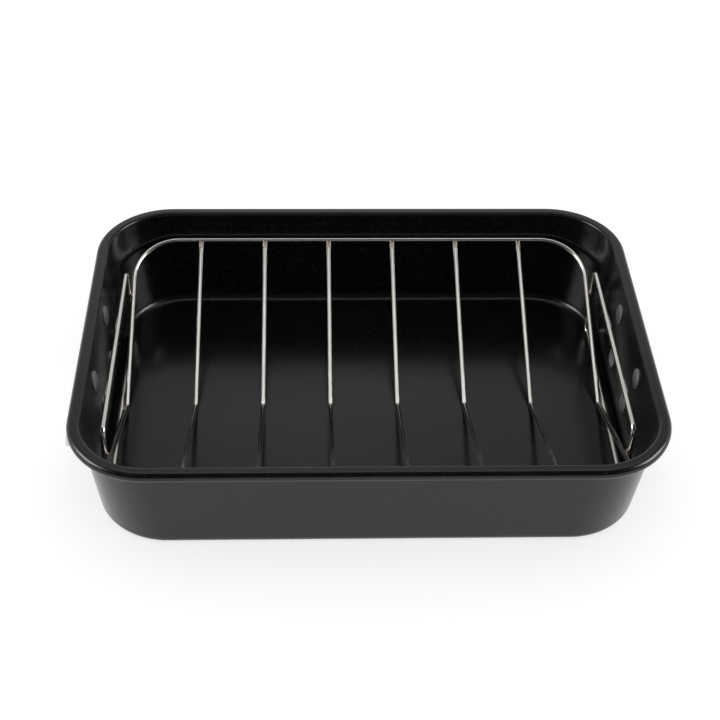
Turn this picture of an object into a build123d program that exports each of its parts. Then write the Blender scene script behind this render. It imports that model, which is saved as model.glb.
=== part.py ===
from build123d import *
import os
from math import asin, atan, cos, radians, sin, sqrt, tan

# Roasting pan with a lift-out V-shaped wire rack, in millimetres. +Z is up, X runs along the
# pan and Y across it. The origin is the middle of the underside of the base.

# Pan: one deep-drawn sheet
rim_length = 380.0
rim_width = 282.0
pan_height = 75.0
rim_corner_radius = 52.0
base_corner_radius = 48.0
base_bend_radius = 6.5
sheet = 1.0
wall_draft_angle = 5.1

# Rolled rim and the wire that it is rolled round
rim_wire_diameter = 5.0
rim_wire_clearance = 0.05
bead_gap = 1.0
rim_depth = 6.5
rim_bend_radius = 1.0
curl_angle = 255.0

# Handle bracket: a plate riveted to the end wall, with two ears
bracket_sheet = 1.5
bracket_bottom = 18.0
bracket_rim_gap = 4.8
bracket_rivet_margin = 8.6
bracket_corner_radius = 5.0
ear_spread = 96.0
ear_tip_radius = 4.7
ear_bend_radius = 1.2

# Rivets: four through each end wall and its bracket
rivet_top_margin = 6.6
rivet_bottom_margin = 8.1
rivet_upper_spacing = 68.6
rivet_lower_spacing = 47.0
rivet_shank_diameter = 5.0
rivet_hole_clearance = 0.05
rivet_head_diameter = 13.6
rivet_head_height = 2.0
rivet_head_edge = 0.7
rivet_tail_diameter = 8.4
rivet_tail_height = 1.8
rivet_tail_edge = 0.9

# Swinging handles, bent from one wire each
handle_wire_diameter = 4.5
handle_drop = 31.0
handle_corner_spread = 148.0
handle_knee_spread = 112.0
handle_tail_spread = 83.0
handle_tail_length = 9.0
handle_tail_bend_radius = 3.3
handle_knee_radius = 4.5
handle_grip_radius = 10.0
hinge_top_margin = 7.1
hinge_stand_off = 7.2
hinge_clearance = 0.05
handle_rest_angle = 17.5
rest_gap = 0.3

# Wire rack
frame_wire_diameter = 3.8
bar_wire_diameter = 3.5
rack_end_gap = 3.0
rack_side_gap = 1.0
floor_gap = 0.3
frame_corner_radius = 32.0
vee_angle = 21.9
vee_bend_radius = 3.0
bar_count = 6
end_bay = 48.1
loop_past_corner = 4.6
loop_height = 54.6
loop_corner_radius = 5.0
weld_bite = 0.3

# Cutters run past what they cut by this much
overrun = 1.0

half_turn = 180.0
quarter_turn = 90.0


def rounded_rectangle(half_length, half_width, radius, height):
    # horizontal face with rounded corners at a height above the base
    outline = RectangleRounded(2 * half_length, 2 * half_width, radius)
    return Pos(0, 0, height) * outline


# Places that the pan gives to the other pieces
draft = radians(wall_draft_angle)
bead_radius = rim_wire_diameter / 2 + rim_wire_clearance + sheet
rim_reach = 2 * bead_radius + bead_gap
wall_top = pan_height - rim_depth
wall_slope = tan(draft)
sheet_across = sheet / cos(draft)
top_half_length = rim_length / 2 - rim_reach
top_half_width = rim_width / 2 - rim_reach
top_corner_radius = rim_corner_radius - rim_reach
base_half_length = top_half_length - wall_top * wall_slope
base_half_width = top_half_width - wall_top * wall_slope

# The end wall's own frame: X across the pan, Y up the wall's outer face, Z out of it
end_wall = Plane(origin=(base_half_length, 0, 0), x_dir=(0, 1, 0), z_dir=(cos(draft), 0, -sin(draft)))

# Heights up that wall: the bracket hangs from the rim, and carries its rivets and hinge
bracket_top = wall_top / cos(draft) - bracket_rim_gap
rivet_upper_height = bracket_top - rivet_top_margin
rivet_lower_height = bracket_bottom + rivet_bottom_margin
hinge_height = bracket_top - hinge_top_margin

rivet_places = [
    (side * spacing / 2, height)
    for spacing, height in (
        (rivet_upper_spacing, rivet_upper_height),
        (rivet_lower_spacing, rivet_lower_height),
    )
    for side in (1, -1)
]


def tapered_block(inset, low, high):
    # the pan's walls as a solid, drawn in by an inset, between two heights
    def section(height):
        drawn_in = (wall_top - height) * wall_slope + inset
        radius = top_corner_radius - inset
        radius += (base_corner_radius - top_corner_radius) * (wall_top - height) / wall_top
        return rounded_rectangle(top_half_length - drawn_in, top_half_width - drawn_in, radius, height)

    return loft([section(low), section(high)], ruled=True)


def base_bend(block, height, radius):
    # round the edges at the foot of a tapered block
    foot = block.edges().filter_by_position(Axis.Z, height, height)
    return fillet(foot, radius)


def rim_section():
    # the sheet at the rim: up the wall, over the top, out, and rolled under the bead
    wall_foot = Vector(-rim_reach, wall_top)
    bend_height = pan_height - sheet - rim_bend_radius
    bend_start = bend_height + rim_bend_radius * sin(draft)
    outer_start = Vector(wall_foot.X + (bend_start - wall_top) * wall_slope, bend_start)
    across = Vector(cos(draft), -sin(draft))
    centre = outer_start + across * rim_bend_radius
    inner_start = outer_start - across * sheet
    inner_foot = Vector(wall_foot.X - sheet_across, wall_top)
    roll = Vector(-bead_radius, pan_height - bead_radius)
    roll_inside = bead_radius - sheet

    def on_roll(radius, turn):
        angle = radians(quarter_turn - turn)
        return roll + Vector(cos(angle), sin(angle)) * radius

    def on_bend(radius, turn):
        angle = radians(quarter_turn + turn)
        return centre + Vector(cos(angle), sin(angle)) * radius

    bend_angle = quarter_turn - wall_draft_angle
    outside = rim_bend_radius + sheet
    profile = [
        Line(wall_foot, outer_start),
        ThreePointArc(outer_start, on_bend(rim_bend_radius, bend_angle / 2), on_bend(rim_bend_radius, 0)),
        Line(on_bend(rim_bend_radius, 0), on_roll(roll_inside, 0)),
        ThreePointArc(
            on_roll(roll_inside, 0),
            on_roll(roll_inside, curl_angle / 2),
            on_roll(roll_inside, curl_angle),
        ),
        Line(on_roll(roll_inside, curl_angle), on_roll(bead_radius, curl_angle)),
        ThreePointArc(
            on_roll(bead_radius, curl_angle),
            on_roll(bead_radius, curl_angle / 2),
            on_roll(bead_radius, 0),
        ),
        Line(on_roll(bead_radius, 0), on_bend(outside, 0)),
        ThreePointArc(on_bend(outside, 0), on_bend(outside, bend_angle / 2), inner_start),
        Line(inner_start, inner_foot),
        Line(inner_foot, wall_foot),
    ]
    return make_face(profile)


def round_the_rim(section):
    # carry a section, drawn from the rim's outer edge, once round the pan
    straight_x = rim_length / 2 - rim_corner_radius
    straight_y = rim_width / 2 - rim_corner_radius
    upright = Plane(origin=(rim_length / 2, 0, 0), x_dir=(1, 0, 0), z_dir=(0, -1, 0)) * section
    end_run = extrude(upright, straight_y, dir=(0, 1, 0), both=True)
    corner_axis = Axis((straight_x, straight_y, 0), (0, 0, 1))
    corner = revolve(Pos(0, straight_y, 0) * upright, corner_axis, quarter_turn)
    sideways = Plane(origin=(0, rim_width / 2, 0), x_dir=(0, 1, 0), z_dir=(1, 0, 0)) * section
    side_run = extrude(sideways, straight_x, dir=(1, 0, 0), both=True)
    runs = [end_run, mirror(end_run, about=Plane.YZ), side_run, mirror(side_run, about=Plane.XZ)]
    right_corners = [corner, mirror(corner, about=Plane.XZ)]
    corners = right_corners + [mirror(piece, about=Plane.YZ) for piece in right_corners]
    return Part() + (runs + corners)


def rivet_holes():
    # through the end wall and the bracket, at both ends of the pan
    radius = rivet_shank_diameter / 2 + rivet_hole_clearance
    depth = 2 * (sheet + bracket_sheet + overrun)
    cutters = [end_wall * Pos(x, y, 0) * Cylinder(radius, depth) for x, y in rivet_places]
    return cutters + [mirror(cutter, about=Plane.YZ) for cutter in cutters]


def pan_shell():
    outside = base_bend(tapered_block(0, 0, wall_top), 0, base_bend_radius)
    inside = tapered_block(sheet_across, sheet, wall_top + overrun)
    inside = base_bend(inside, sheet, base_bend_radius - sheet)
    shell = outside - inside
    shell += round_the_rim(rim_section())
    return shell - rivet_holes()


def rim_wire():
    centre = Pos(-bead_radius, pan_height - bead_radius)
    return round_the_rim(centre * Circle(rim_wire_diameter / 2))


# Hinge of the right handle, in the pan's frame
hinge = end_wall.from_local_coords(Vector(0, hinge_height, hinge_stand_off))


def bracket():
    # right bracket, drawn on the wall's frame: a tapered plate and a strap bent into two ears
    slant = (rivet_upper_spacing - rivet_lower_spacing) / 2
    slant /= rivet_upper_height - rivet_lower_height

    def half_width(height):
        return rivet_lower_spacing / 2 + bracket_rivet_margin + slant * (height - rivet_lower_height)

    corners = [
        (side * half_width(height), height)
        for side, height in (
            (1, bracket_bottom),
            (1, bracket_top),
            (-1, bracket_top),
            (-1, bracket_bottom),
        )
    ]
    outline = make_face(Polyline(corners, close=True))
    outline = fillet(outline.vertices(), bracket_corner_radius)
    plate = extrude(outline, bracket_sheet)

    reach = hinge_stand_off + ear_tip_radius
    strap = Pos(0, hinge_height, reach / 2) * Box(ear_spread, 2 * ear_tip_radius, reach)
    strap = fillet(strap.edges().filter_by(Axis.Y).group_by(Axis.Z)[0], ear_bend_radius + bracket_sheet)
    hollow_width = ear_spread - 2 * bracket_sheet
    hollow = Pos(0, hinge_height, bracket_sheet + reach / 2)
    hollow *= Box(hollow_width, 2 * (ear_tip_radius + overrun), reach)
    hollow = fillet(hollow.edges().filter_by(Axis.Y).group_by(Axis.Z)[0], ear_bend_radius)
    strap -= hollow
    across = Rot(0, quarter_turn, 0)
    tip = Pos(0, hinge_height, hinge_stand_off) * across * Cylinder(ear_tip_radius, ear_spread)
    ear_foot = Pos(0, hinge_height, hinge_stand_off / 2)
    ear_foot *= Box(ear_spread, 2 * ear_tip_radius, hinge_stand_off)
    strap &= ear_foot + tip
    eye = Pos(0, hinge_height, hinge_stand_off) * across
    eye *= Cylinder(handle_wire_diameter / 2 + hinge_clearance, ear_spread + overrun)
    return end_wall * (plate + strap - eye) - rivet_holes()


def rivet(place):
    # flat-domed head inside the pan, shank through wall and bracket, formed tail outside
    def dome(diameter, edge, height, base, outward):
        top = base + outward * height
        shoulder = base + outward * edge
        chord = diameter / 2
        rise = height - edge
        dome_radius = (chord * chord + rise * rise) / (2 * rise)
        half_angle = asin(chord / dome_radius) / 2
        middle = Vector(dome_radius * sin(half_angle), top - outward * dome_radius * (1 - cos(half_angle)))
        return make_face(
            [
                Line((0, base), (chord, base)),
                Line((chord, base), (chord, shoulder)),
                ThreePointArc((chord, shoulder), middle, (0, top)),
                Line((0, top), (0, base)),
            ]
        )

    head = dome(rivet_head_diameter, rivet_head_edge, rivet_head_height, -sheet, -1)
    tail = dome(rivet_tail_diameter, rivet_tail_edge, rivet_tail_height, bracket_sheet, 1)
    grip = sheet + bracket_sheet
    shank = Pos(rivet_shank_diameter / 4, bracket_sheet - grip / 2) * Rectangle(rivet_shank_diameter / 2, grip)
    turned = revolve(Plane.XZ * (head + shank + tail), Axis.Z, 2 * half_turn)
    x, y = place
    return end_wall * Pos(x, y, 0) * turned


def bent_wire(points, radii, diameter):
    # one round wire along straight runs and bends
    route = FilletPolyline(*points, radius=radii)
    start = Plane(origin=route @ 0, z_dir=route % 0)
    return sweep(start * Circle(diameter / 2), path=route)


def handle():
    # right handle: tails behind the ears, pivots, splayed legs and a straight grip
    wire_radius = handle_wire_diameter / 2
    drop_angle = radians(handle_rest_angle)
    room = hinge_stand_off - bracket_sheet - rest_gap
    tail_reach = sqrt(handle_tail_length**2 + wire_radius**2)
    tail_angle = draft + asin(room / tail_reach) - atan(wire_radius / handle_tail_length)
    grip_line = hinge + Vector(sin(drop_angle), 0, -cos(drop_angle)) * handle_drop
    tail_line = hinge - Vector(sin(tail_angle), 0, cos(tail_angle)) * handle_tail_length

    def across(point, y):
        return Vector(point.X, y, point.Z)

    half = [
        across(tail_line, handle_tail_spread / 2),
        across(hinge, handle_tail_spread / 2),
        across(hinge, handle_knee_spread / 2),
        across(grip_line, handle_corner_spread / 2),
    ]
    radii = [handle_tail_bend_radius, handle_knee_radius, handle_grip_radius]
    points = half + [across(point, -point.Y) for point in reversed(half)]
    return bent_wire(points, radii + radii[::-1], handle_wire_diameter)


# Rack: the wires' middle line at the foot, and the corner of the vee below its bend
frame_wire_radius = frame_wire_diameter / 2
foot_height = sheet + floor_gap + frame_wire_radius
wing_slope = radians(vee_angle)
vee_height = foot_height + vee_bend_radius - vee_bend_radius / cos(wing_slope)

# The wings reach up to the side walls, which lean away from them
wall_at_vee = base_half_width - sheet_across + vee_height * wall_slope
wing_reach = wall_at_vee - rack_side_gap - frame_wire_radius
wing_reach /= 1 - wall_slope * tan(wing_slope)
wing_height = vee_height + wing_reach * tan(wing_slope)

# The loops stand at the foot of the end walls, and the frame lies between them
loop_half_spread = base_half_length - sheet_across - rack_end_gap - frame_wire_radius
loop_half_length = base_half_width - base_corner_radius + loop_past_corner
frame_half_length = loop_half_spread - frame_wire_diameter + weld_bite
bar_pitch = 2 * (frame_half_length - end_bay) / (bar_count - 1)


def vee_path(x):
    return [
        Vector(x, -wing_reach, wing_height),
        Vector(x, 0, vee_height),
        Vector(x, wing_reach, wing_height),
    ]


def rack_frame():
    # closed wire round both wings, bent along the foot of the vee
    front, foot, back = vee_path(frame_half_length)
    half = [Vector(0, front.Y, front.Z), front, foot, back, Vector(0, back.Y, back.Z)]
    radii = [frame_corner_radius, vee_bend_radius, frame_corner_radius]
    right_half = bent_wire(half, radii, frame_wire_diameter)
    return right_half + mirror(right_half, about=Plane.YZ)


def rack_bar(index, frame):
    # cross bar bent to the same vee, its ends seated against the frame wire
    x = (index - (bar_count - 1) / 2) * bar_pitch
    bar = bent_wire(vee_path(x), [vee_bend_radius], bar_wire_diameter)
    return bar - frame


def rack_loop(frame):
    # right side loop: grip rod, foot rod and two uprights, welded outside the frame
    low = foot_height
    high = foot_height + loop_height
    half = [
        Vector(loop_half_spread, 0, high),
        Vector(loop_half_spread, loop_half_length, high),
        Vector(loop_half_spread, loop_half_length, low),
        Vector(loop_half_spread, 0, low),
    ]
    back_half = bent_wire(half, [loop_corner_radius, loop_corner_radius], frame_wire_diameter)
    return back_half + mirror(back_half, about=Plane.XZ) - frame


def both_ends(name, piece):
    return {f"right_{name}": piece, f"left_{name}": mirror(piece, about=Plane.YZ)}


nodes = {"pan_shell": pan_shell(), "rim_wire": rim_wire()}
nodes |= both_ends("bracket", bracket())
rivet_names = ["rivet_upper_back", "rivet_upper_front", "rivet_lower_back", "rivet_lower_front"]
for rivet_name, rivet_place in zip(rivet_names, rivet_places):
    nodes |= both_ends(rivet_name, rivet(rivet_place))
nodes |= both_ends("handle", handle())
frame = rack_frame()
nodes["rack_frame"] = frame
for index in range(bar_count):
    nodes[f"rack_bar_{index + 1}"] = rack_bar(index, frame)
nodes |= both_ends("rack_loop", rack_loop(frame))

os.makedirs("parts", exist_ok=True)
for node_name, piece in nodes.items():
    export_step(piece, f"parts/{node_name}.step")
    print(node_name, len(piece.solids()), round(piece.volume, 1), piece.is_valid)
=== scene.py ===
import math

import bmesh
import bpy
from mathutils import Matrix, Vector, noise


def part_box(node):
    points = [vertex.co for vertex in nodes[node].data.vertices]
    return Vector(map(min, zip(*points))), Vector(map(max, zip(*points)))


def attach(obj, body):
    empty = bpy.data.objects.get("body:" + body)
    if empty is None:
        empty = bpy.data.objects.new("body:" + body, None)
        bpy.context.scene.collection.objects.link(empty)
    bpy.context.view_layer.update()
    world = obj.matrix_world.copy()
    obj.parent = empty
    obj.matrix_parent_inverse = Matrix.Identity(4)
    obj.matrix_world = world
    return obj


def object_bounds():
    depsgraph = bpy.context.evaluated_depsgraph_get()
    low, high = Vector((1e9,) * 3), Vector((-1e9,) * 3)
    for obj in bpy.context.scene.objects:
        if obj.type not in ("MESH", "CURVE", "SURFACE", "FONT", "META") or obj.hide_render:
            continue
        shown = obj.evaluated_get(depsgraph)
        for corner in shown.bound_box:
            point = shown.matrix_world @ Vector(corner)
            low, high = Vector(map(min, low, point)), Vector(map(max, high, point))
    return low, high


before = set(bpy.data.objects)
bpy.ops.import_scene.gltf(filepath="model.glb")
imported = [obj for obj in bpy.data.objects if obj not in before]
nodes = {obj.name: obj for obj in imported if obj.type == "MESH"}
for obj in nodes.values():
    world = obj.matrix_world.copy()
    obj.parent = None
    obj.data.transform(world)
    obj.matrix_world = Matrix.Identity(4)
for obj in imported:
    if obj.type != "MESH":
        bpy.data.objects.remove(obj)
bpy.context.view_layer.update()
print("frame loaded:", len(nodes), "CAD pieces")


# small helpers that every piece uses

mergeDistance = 1e-6
white = (1, 1, 1, 1)


def newMesh(bm, name):
    bmesh.ops.remove_doubles(bm, verts=bm.verts, dist=mergeDistance)
    bmesh.ops.recalc_face_normals(bm, faces=bm.faces)
    for face in bm.faces:
        face.smooth = True
    mesh = bpy.data.meshes.new(name)
    bm.to_mesh(mesh)
    bm.free()
    obj = bpy.data.objects.new(name, mesh)
    bpy.context.scene.collection.objects.link(obj)
    return obj


def paint(obj, material):
    obj.data.materials.clear()
    obj.data.materials.append(material)


def newMaterial(name, settings):
    material = bpy.data.materials.new(name)
    material.use_nodes = True
    shader = material.node_tree.nodes["Principled BSDF"]
    for socket, value in settings.items():
        shader.inputs[socket].default_value = value
    return material, material.node_tree, shader


def addNode(tree, kind, inputs=None, **settings):
    node = tree.nodes.new(kind)
    for key, value in settings.items():
        setattr(node, key, value)
    for socket, value in (inputs or {}).items():
        if isinstance(value, bpy.types.NodeSocket):
            tree.links.new(value, node.inputs[socket])
        else:
            node.inputs[socket].default_value = value
    return node


def objectPlace(tree):
    return addNode(tree, "ShaderNodeTexCoord").outputs["Object"]


def grain(tree, scale, detail, stretch=(1, 1, 1)):
    # noise in the object's own coordinates, one metre to a unit
    mapped = addNode(tree, "ShaderNodeMapping", {"Vector": objectPlace(tree), "Scale": stretch})
    settings = {"Vector": mapped.outputs["Vector"], "Scale": scale, "Detail": detail}
    return addNode(tree, "ShaderNodeTexNoise", settings).outputs["Fac"]


def spread(tree, value, low, high, start=0.3, end=0.7):
    limits = {"Value": value, "From Min": start, "From Max": end, "To Min": low, "To Max": high}
    return addNode(tree, "ShaderNodeMapRange", limits).outputs["Result"]


def combine(tree, operation, first, second):
    return addNode(tree, "ShaderNodeMath", {0: first, 1: second}, operation=operation).outputs[0]


def blendColours(tree, factor, first, second):
    # the mix node's colour sockets follow those for numbers and vectors
    mixer = addNode(tree, "ShaderNodeMix", {0: factor, 6: first, 7: second}, data_type="RGBA")
    return mixer.outputs[2]


def roughen(tree, shader, height, depth, strength):
    bump = addNode(tree, "ShaderNodeBump", {"Height": height, "Distance": depth, "Strength": strength})
    tree.links.new(bump.outputs["Normal"], shader.inputs["Normal"])


# in the finishes, a grain is the scale and detail of a noise, and a relief its depth and strength

# the pan's coating: black, satin, with a fine orange peel and sparse pale flecks
coating = {
    "ior": 1.47,
    "base": (0.0012, 0.0012, 0.0015, 1),
    "fleck": (0.022, 0.022, 0.024, 1),
    "fleckGrain": (1500, 1),
    "fleckRange": (0.60, 0.72),        # where the noise starts and ends turning into flecks
    "roughness": (0.19, 0.25),
    "cloudGrain": (18, 3),
    "peelGrain": (700, 2),
    "peelRelief": (0.00006, 0.35),
}


def nonStickCoating():
    material, tree, shader = newMaterial("nonStickCoating", {"Metallic": 0.0, "IOR": coating["ior"]})
    sparse = spread(tree, grain(tree, *coating["fleckGrain"]), 0, 1, *coating["fleckRange"])
    colour = blendColours(tree, sparse, coating["base"], coating["fleck"])
    tree.links.new(colour, shader.inputs["Base Color"])
    clouds = grain(tree, *coating["cloudGrain"])
    tree.links.new(spread(tree, clouds, *coating["roughness"]), shader.inputs["Roughness"])
    roughen(tree, shader, grain(tree, *coating["peelGrain"]), *coating["peelRelief"])
    return material


# bright plating on the rack's wires, heat-tinted at the ends of the bars
plating = {
    "bright": (0.74, 0.72, 0.69, 1),
    "hazy": (0.68, 0.66, 0.625, 1),
    "hazeGrain": (60, 3),
    "roughness": (0.13, 0.20),
    "roughGrain": (160, 3),
    "tint": (0.34, 0.29, 0.235, 1),
    "tintRoughness": 0.34,
    "tintRange": (0.1185, 0.1235),     # distance from the pan's middle line
    "tintWander": 0.001,               # how far the tint's edge strays each way
    "tintGrain": (700, 2),
}


def platedWire(name, tinted):
    material, tree, shader = newMaterial(name, {"Metallic": 1.0})
    haze = spread(tree, grain(tree, *plating["hazeGrain"]), 0, 1)
    colour = blendColours(tree, haze, plating["bright"], plating["hazy"])
    rough = spread(tree, grain(tree, *plating["roughGrain"]), *plating["roughness"])
    if tinted:
        across = addNode(tree, "ShaderNodeSeparateXYZ", {0: objectPlace(tree)}).outputs["Y"]
        away = combine(tree, "ABSOLUTE", across, 0)
        ragged = combine(tree, "MULTIPLY_ADD", grain(tree, *plating["tintGrain"]), 2 * plating["tintWander"])
        ragged.node.inputs[2].default_value = -plating["tintWander"]
        heat = spread(tree, combine(tree, "ADD", away, ragged), 0, 1, *plating["tintRange"])
        colour = blendColours(tree, heat, colour, plating["tint"])
        dulled = {"Value": heat, "To Min": rough, "To Max": plating["tintRoughness"]}
        rough = addNode(tree, "ShaderNodeMapRange", dulled).outputs["Result"]
    tree.links.new(colour, shader.inputs["Base Color"])
    tree.links.new(rough, shader.inputs["Roughness"])
    return material


# the burnt metal of the welds
weldMetal = {
    "bright": (0.27, 0.235, 0.20, 1),
    "shade": (0.07, 0.055, 0.042, 1),
    "roughness": (0.28, 0.5),
    "grain": (900, 3),
    "relief": (0.0002, 0.4),
}

# the brackets' sheet, brushed along the wall: its third grain value stretches the noise
sheetMetal = {
    "bright": (0.50, 0.50, 0.50, 1),
    "shade": (0.34, 0.34, 0.345, 1),
    "roughness": (0.28, 0.44),
    "grain": (40, 6, (60, 1, 60)),
    "relief": (0.00003, 0.25),
}

# the handles' wire, drawn and lightly scuffed
wireMetal = {
    "bright": (0.66, 0.66, 0.665, 1),
    "shade": (0.56, 0.56, 0.565, 1),
    "roughness": (0.14, 0.26),
    "grain": (300, 4),
    "relief": (0.00004, 0.2),
}

# the rivets, duller and more scuffed
rivetMetal = {
    "bright": (0.54, 0.54, 0.55, 1),
    "shade": (0.40, 0.40, 0.41, 1),
    "roughness": (0.32, 0.46),
    "grain": (500, 4),
    "relief": (0.00008, 0.3),
}


def bareMetal(name, settings):
    # one noise sets the colour, the roughness and the relief
    material, tree, shader = newMaterial(name, {"Metallic": 1.0})
    marks = grain(tree, *settings["grain"])
    colour = blendColours(tree, spread(tree, marks, 0, 1), settings["bright"], settings["shade"])
    tree.links.new(colour, shader.inputs["Base Color"])
    tree.links.new(spread(tree, marks, *settings["roughness"]), shader.inputs["Roughness"])
    roughen(tree, shader, marks, *settings["relief"])
    return material


finishes = {
    "coating": nonStickCoating(),
    "plating": platedWire("platedWire", False),
    "bar": platedWire("platedBar", True),
    "weld": bareMetal("weldedMetal", weldMetal),
    "sheet": bareMetal("brushedSheet", sheetMetal),
    "wire": bareMetal("drawnWire", wireMetal),
    "rivet": bareMetal("rivetMetal", rivetMetal),
}
print("finishes made:", len(finishes))

for name, obj in nodes.items():
    if "rack_bar" in name:
        paint(obj, finishes["bar"])
    elif "rack" in name:
        paint(obj, finishes["plating"])
    elif "rivet" in name:
        paint(obj, finishes["rivet"])
    elif "bracket" in name:
        paint(obj, finishes["sheet"])
    elif "handle" in name or name == "rim_wire":
        paint(obj, finishes["wire"])
    else:
        paint(obj, finishes["coating"])
print("CAD pieces finished")


# places of the rack's joints, read from the CAD wires, and the slope of its wings
veeAngle = math.radians(21.9)
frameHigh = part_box("rack_frame")[1]
loopLow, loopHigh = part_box("right_rack_loop")
frameRadius = (loopHigh[0] - loopLow[0]) / 2
topWireY = frameHigh[1] - frameRadius
topWireZ = frameHigh[2] - frameRadius

# weld at a bar's end: a flared collar with an uneven skin, from the frame wire down the bar
barWeld = {
    "sides": 28,
    "startShare": 0.45,                             # first ring, as a share of the frame wire's radius
    "steps": (0.0006, 0.0006, 0.0006, 0.0007, 0.0008),
    "widths": (1.00, 1.07, 1.08, 1.04, 1.01, 0.97),  # shares of the bar's radius
    "unevenness": 0.00022,
    "lumpScale": 1100,
}

# weld where a loop lies against the frame: a flattened nugget between the two wires
loopWeld = {
    "subdivisions": 4,
    "thickness": 0.0013,
    "uprightSize": (0.0022, 0.0024),                # half width and half height
    "footSize": (0.0042, 0.0013),
    "unevenness": 0.00025,
    "lumpScale": 800,
}


def makeUneven(bm, place, amount, scale):
    # push the skin in and out by noise that differs from joint to joint
    bm.normal_update()
    for vert in bm.verts:
        vert.co += vert.normal * noise.noise((vert.co + place) * scale) * amount


def settleFaces(bm):
    # extruding leaves the faces in another order each run, so they are put in order of their places
    ordered = sorted(bm.faces, key=lambda face: tuple(face.calc_center_median()))
    for index, face in enumerate(ordered):
        face.index = index
    bm.faces.sort()


def finishWeld(bm, name):
    settleFaces(bm)
    weld = newMesh(bm, name)
    paint(weld, finishes["weld"])
    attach(weld, "rack")


def weldBarEnd(name, joint, outward, barRadius):
    widths = [share * barRadius for share in barWeld["widths"]]
    bm = bmesh.new()
    bmesh.ops.create_circle(bm, segments=barWeld["sides"], radius=widths[0], cap_ends=True)
    ring = list(bm.edges)
    for step, width, wider in zip(barWeld["steps"], widths, widths[1:]):
        grown = bmesh.ops.extrude_edge_only(bm, edges=ring)["geom"]
        verts = [item for item in grown if isinstance(item, bmesh.types.BMVert)]
        ring = [item for item in grown if isinstance(item, bmesh.types.BMEdge)]
        bmesh.ops.translate(bm, verts=verts, vec=(0, 0, step))
        bmesh.ops.scale(bm, verts=verts, vec=(wider / width, wider / width, 1))
    bmesh.ops.contextual_create(bm, geom=ring)
    turn = (-outward).to_track_quat("Z", "Y").to_matrix().to_4x4()
    start = joint - outward * frameRadius * barWeld["startShare"]
    bmesh.ops.recalc_face_normals(bm, faces=bm.faces)
    makeUneven(bm, joint, barWeld["unevenness"], barWeld["lumpScale"])
    bmesh.ops.transform(bm, matrix=Matrix.Translation(start) @ turn, verts=bm.verts)
    finishWeld(bm, name)


def weldLoop(name, joint, halfWidth, halfHeight):
    bm = bmesh.new()
    bmesh.ops.create_icosphere(bm, subdivisions=loopWeld["subdivisions"], radius=1)
    bmesh.ops.scale(bm, verts=bm.verts, vec=(loopWeld["thickness"], halfWidth, halfHeight))
    makeUneven(bm, joint, loopWeld["unevenness"], loopWeld["lumpScale"])
    bmesh.ops.translate(bm, verts=bm.verts, vec=joint)
    finishWeld(bm, name)


bars = sorted(name for name in nodes if name.startswith("rack_bar"))
for number, bar in enumerate(bars, 1):
    low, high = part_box(bar)
    middle, barRadius = (low[0] + high[0]) / 2, (high[0] - low[0]) / 2
    for side, word in ((1, "Back"), (-1, "Front")):
        joint = Vector((middle, side * topWireY, topWireZ))
        outward = Vector((0, side * math.cos(veeAngle), math.sin(veeAngle)))
        weldBarEnd(f"weldBar{number}{word}", joint, outward, barRadius)

between = (frameHigh[0] + loopLow[0]) / 2
uprightY = loopHigh[1] - frameRadius
footZ = loopLow[2] + frameRadius
uprightZ = footZ + uprightY * math.tan(veeAngle)
loopJoints = {
    "Back": (uprightY, uprightZ, loopWeld["uprightSize"]),
    "Front": (-uprightY, uprightZ, loopWeld["uprightSize"]),
    "Foot": (0, footZ, loopWeld["footSize"]),
}
for side, sideWord in ((1, "Right"), (-1, "Left")):
    for jointWord, (jointY, jointZ, halfSizes) in loopJoints.items():
        weldLoop(f"weldLoop{sideWord}{jointWord}", Vector((side * between, jointY, jointZ)), *halfSizes)
print("welds made:", 2 * (len(bars) + len(loopJoints)))


# the photograph's viewpoint, in metres and degrees, the lens and its sensor in millimetres
view = {
    "place": (-0.03823, -0.76531, 0.70068),
    "yaw": 2.590,
    "pitch": 40.545,
    "roll": 1.448,
    "lens": 73.448,
    "sensor": 36,
    "reach": 50,                       # how far the camera sees
}


def placeCamera():
    yaw, pitch, roll = (math.radians(view[key]) for key in ("yaw", "pitch", "roll"))
    level = math.cos(pitch)
    ahead = Vector((math.sin(yaw) * level, math.cos(yaw) * level, -math.sin(pitch)))
    right = Vector((math.cos(yaw), -math.sin(yaw), 0))
    up = right.cross(ahead)
    tiltedRight = math.cos(roll) * right + math.sin(roll) * up
    tiltedUp = math.cos(roll) * up - math.sin(roll) * right
    camera = bpy.data.objects.new("camera", bpy.data.cameras.new("camera"))
    bpy.context.scene.collection.objects.link(camera)
    camera.data.sensor_fit = "HORIZONTAL"
    camera.data.sensor_width = view["sensor"]
    camera.data.lens = view["lens"]
    camera.data.clip_end = view["reach"]
    turn = Matrix((tiltedRight, tiltedUp, -ahead)).transposed().to_4x4()
    camera.matrix_world = Matrix.Translation(view["place"]) @ turn
    bpy.context.scene.camera = camera


# the studio: a pale floor, white walls that darken upwards and sideways, and three soft boxes
studio = {
    "floorSize": 12,
    "floorGap": 0.0001,                # under the pan's base
    "floorColour": (0.45, 0.45, 0.45, 1),
    "floorLift": 0.69,                 # own light of the floor, for the camera and in the gloss
    "skyLight": 0.85,                  # what the walls give to matt surfaces
    "backdrop": 1.0,                   # what the camera sees of them
    "wallLight": 1.1,                  # what the gloss sees of them, at their brightest
    "wallTurn": (-0.6, 0.6),           # from the walls on the camera's side to those behind the pan
    "wallAhead": (0.50, 0.97),         # where the wall starts and ends darkening, behind the pan
    "wallBehind": (-0.05, 0.34),       # and on the camera's side
    "wallMiddle": (0.0, 0.24),         # and sideways, from the middle
    "wallSide": 0.62,                  # what is left of its light there
    "ceiling": 0.06,
}

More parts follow.
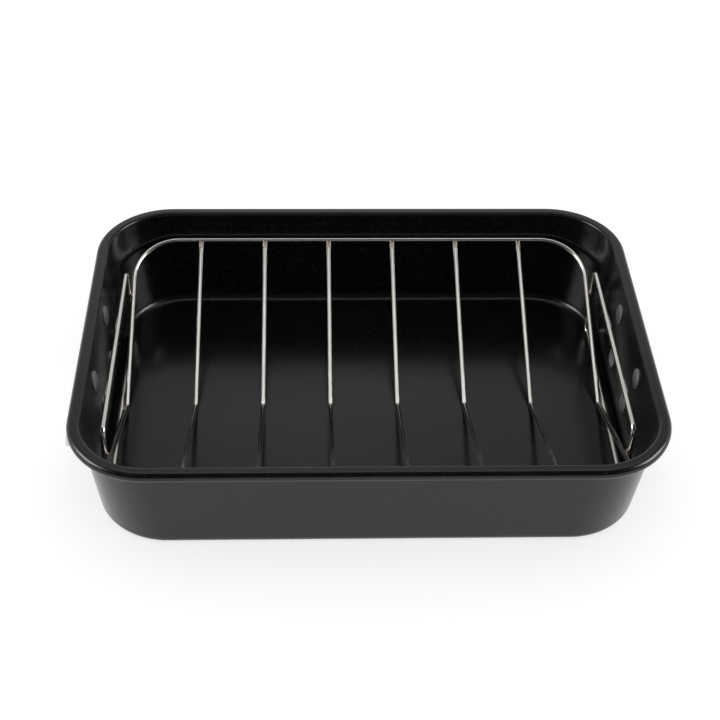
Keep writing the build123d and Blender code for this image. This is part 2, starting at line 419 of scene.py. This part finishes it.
lamps = {
    "boxLeft": {"place": (-1.30, -0.10, 0.80), "aim": (0, 0, 0), "size": (0.80, 0.70), "power": 14},
    "boxRight": {"place": (1.30, -0.10, 0.80), "aim": (0, 0, 0), "size": (0.80, 0.70), "power": 14},
    "boxAbove": {"place": (0, 0.12, 0.60), "aim": (0, 0.12, 0), "size": (0.90, 0.24), "power": 0.65},
}


def mirroredRay(tree):
    path = addNode(tree, "ShaderNodeLightPath")
    return combine(tree, "MAXIMUM", path.outputs["Is Glossy Ray"], path.outputs["Is Transmission Ray"])


def cameraRay(tree):
    return addNode(tree, "ShaderNodeLightPath").outputs["Is Camera Ray"]


def buildFloor():
    bm = bmesh.new()
    bmesh.ops.create_grid(bm, x_segments=1, y_segments=1, size=studio["floorSize"] / 2)
    bmesh.ops.translate(bm, verts=bm.verts, vec=(0, 0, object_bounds()[0][2] - studio["floorGap"]))
    floor = newMesh(bm, "floor")
    material = bpy.data.materials.new("paleFloor")
    material.use_nodes = True
    tree = material.node_tree
    tree.nodes.clear()
    matt = addNode(tree, "ShaderNodeBsdfDiffuse", {"Color": studio["floorColour"]})
    seen = combine(tree, "MAXIMUM", cameraRay(tree), mirroredRay(tree))
    lift = combine(tree, "MULTIPLY", seen, studio["floorLift"])
    glow = addNode(tree, "ShaderNodeEmission", {"Color": white, "Strength": lift})
    both = addNode(tree, "ShaderNodeAddShader", {0: matt.outputs[0], 1: glow.outputs[0]})
    addNode(tree, "ShaderNodeOutputMaterial", {"Surface": both.outputs[0]})
    paint(floor, material)


def wallStrength(tree):
    # what a polished surface sees of the walls: bright low down, darker above and to the sides
    where = addNode(tree, "ShaderNodeTexCoord").outputs["Generated"]
    parts = addNode(tree, "ShaderNodeSeparateXYZ", {0: where}).outputs
    ahead = spread(tree, parts["Y"], 0, 1, *studio["wallTurn"])
    edges = [
        spread(tree, ahead, near, far, 0, 1)
        for near, far in zip(studio["wallBehind"], studio["wallAhead"])
    ]
    fall = {"Value": parts["Z"], "From Min": edges[0], "From Max": edges[1]}
    fall |= {"To Min": studio["wallLight"], "To Max": studio["ceiling"]}
    upwards = addNode(tree, "ShaderNodeMapRange", fall, interpolation_type="SMOOTHSTEP").outputs["Result"]
    aside = combine(tree, "ABSOLUTE", parts["X"], 0)
    sideways = spread(tree, aside, 1, studio["wallSide"], *studio["wallMiddle"])
    return combine(tree, "MULTIPLY", upwards, sideways)


def lightWorld():
    world = bpy.data.worlds.new("studioWalls")
    bpy.context.scene.world = world
    world.use_nodes = True
    tree = world.node_tree
    walls = tree.nodes["Background"]
    walls.inputs["Color"].default_value = white
    plain = spread(tree, cameraRay(tree), studio["skyLight"], studio["backdrop"], 0, 1)
    strength = addNode(tree, "ShaderNodeMix", {0: mirroredRay(tree), 2: plain, 3: wallStrength(tree)})
    tree.links.new(strength.outputs[0], walls.inputs["Strength"])


def hangLamps():
    for name, settings in lamps.items():
        light = bpy.data.lights.new(name, "AREA")
        light.shape = "RECTANGLE"
        light.size, light.size_y = settings["size"]
        light.energy = settings["power"]
        lamp = bpy.data.objects.new(name, light)
        bpy.context.scene.collection.objects.link(lamp)
        lamp.visible_diffuse = False      # the boxes show in the gloss, the room lights the rest
        lamp.location = settings["place"]
        lamp.rotation_euler = (Vector(settings["aim"]) - lamp.location).to_track_quat("-Z", "Y").to_euler()


placeCamera()
buildFloor()
lightWorld()
hangLamps()
bpy.context.scene.view_settings.view_transform = "Standard"
print("camera, floor and lights placed")
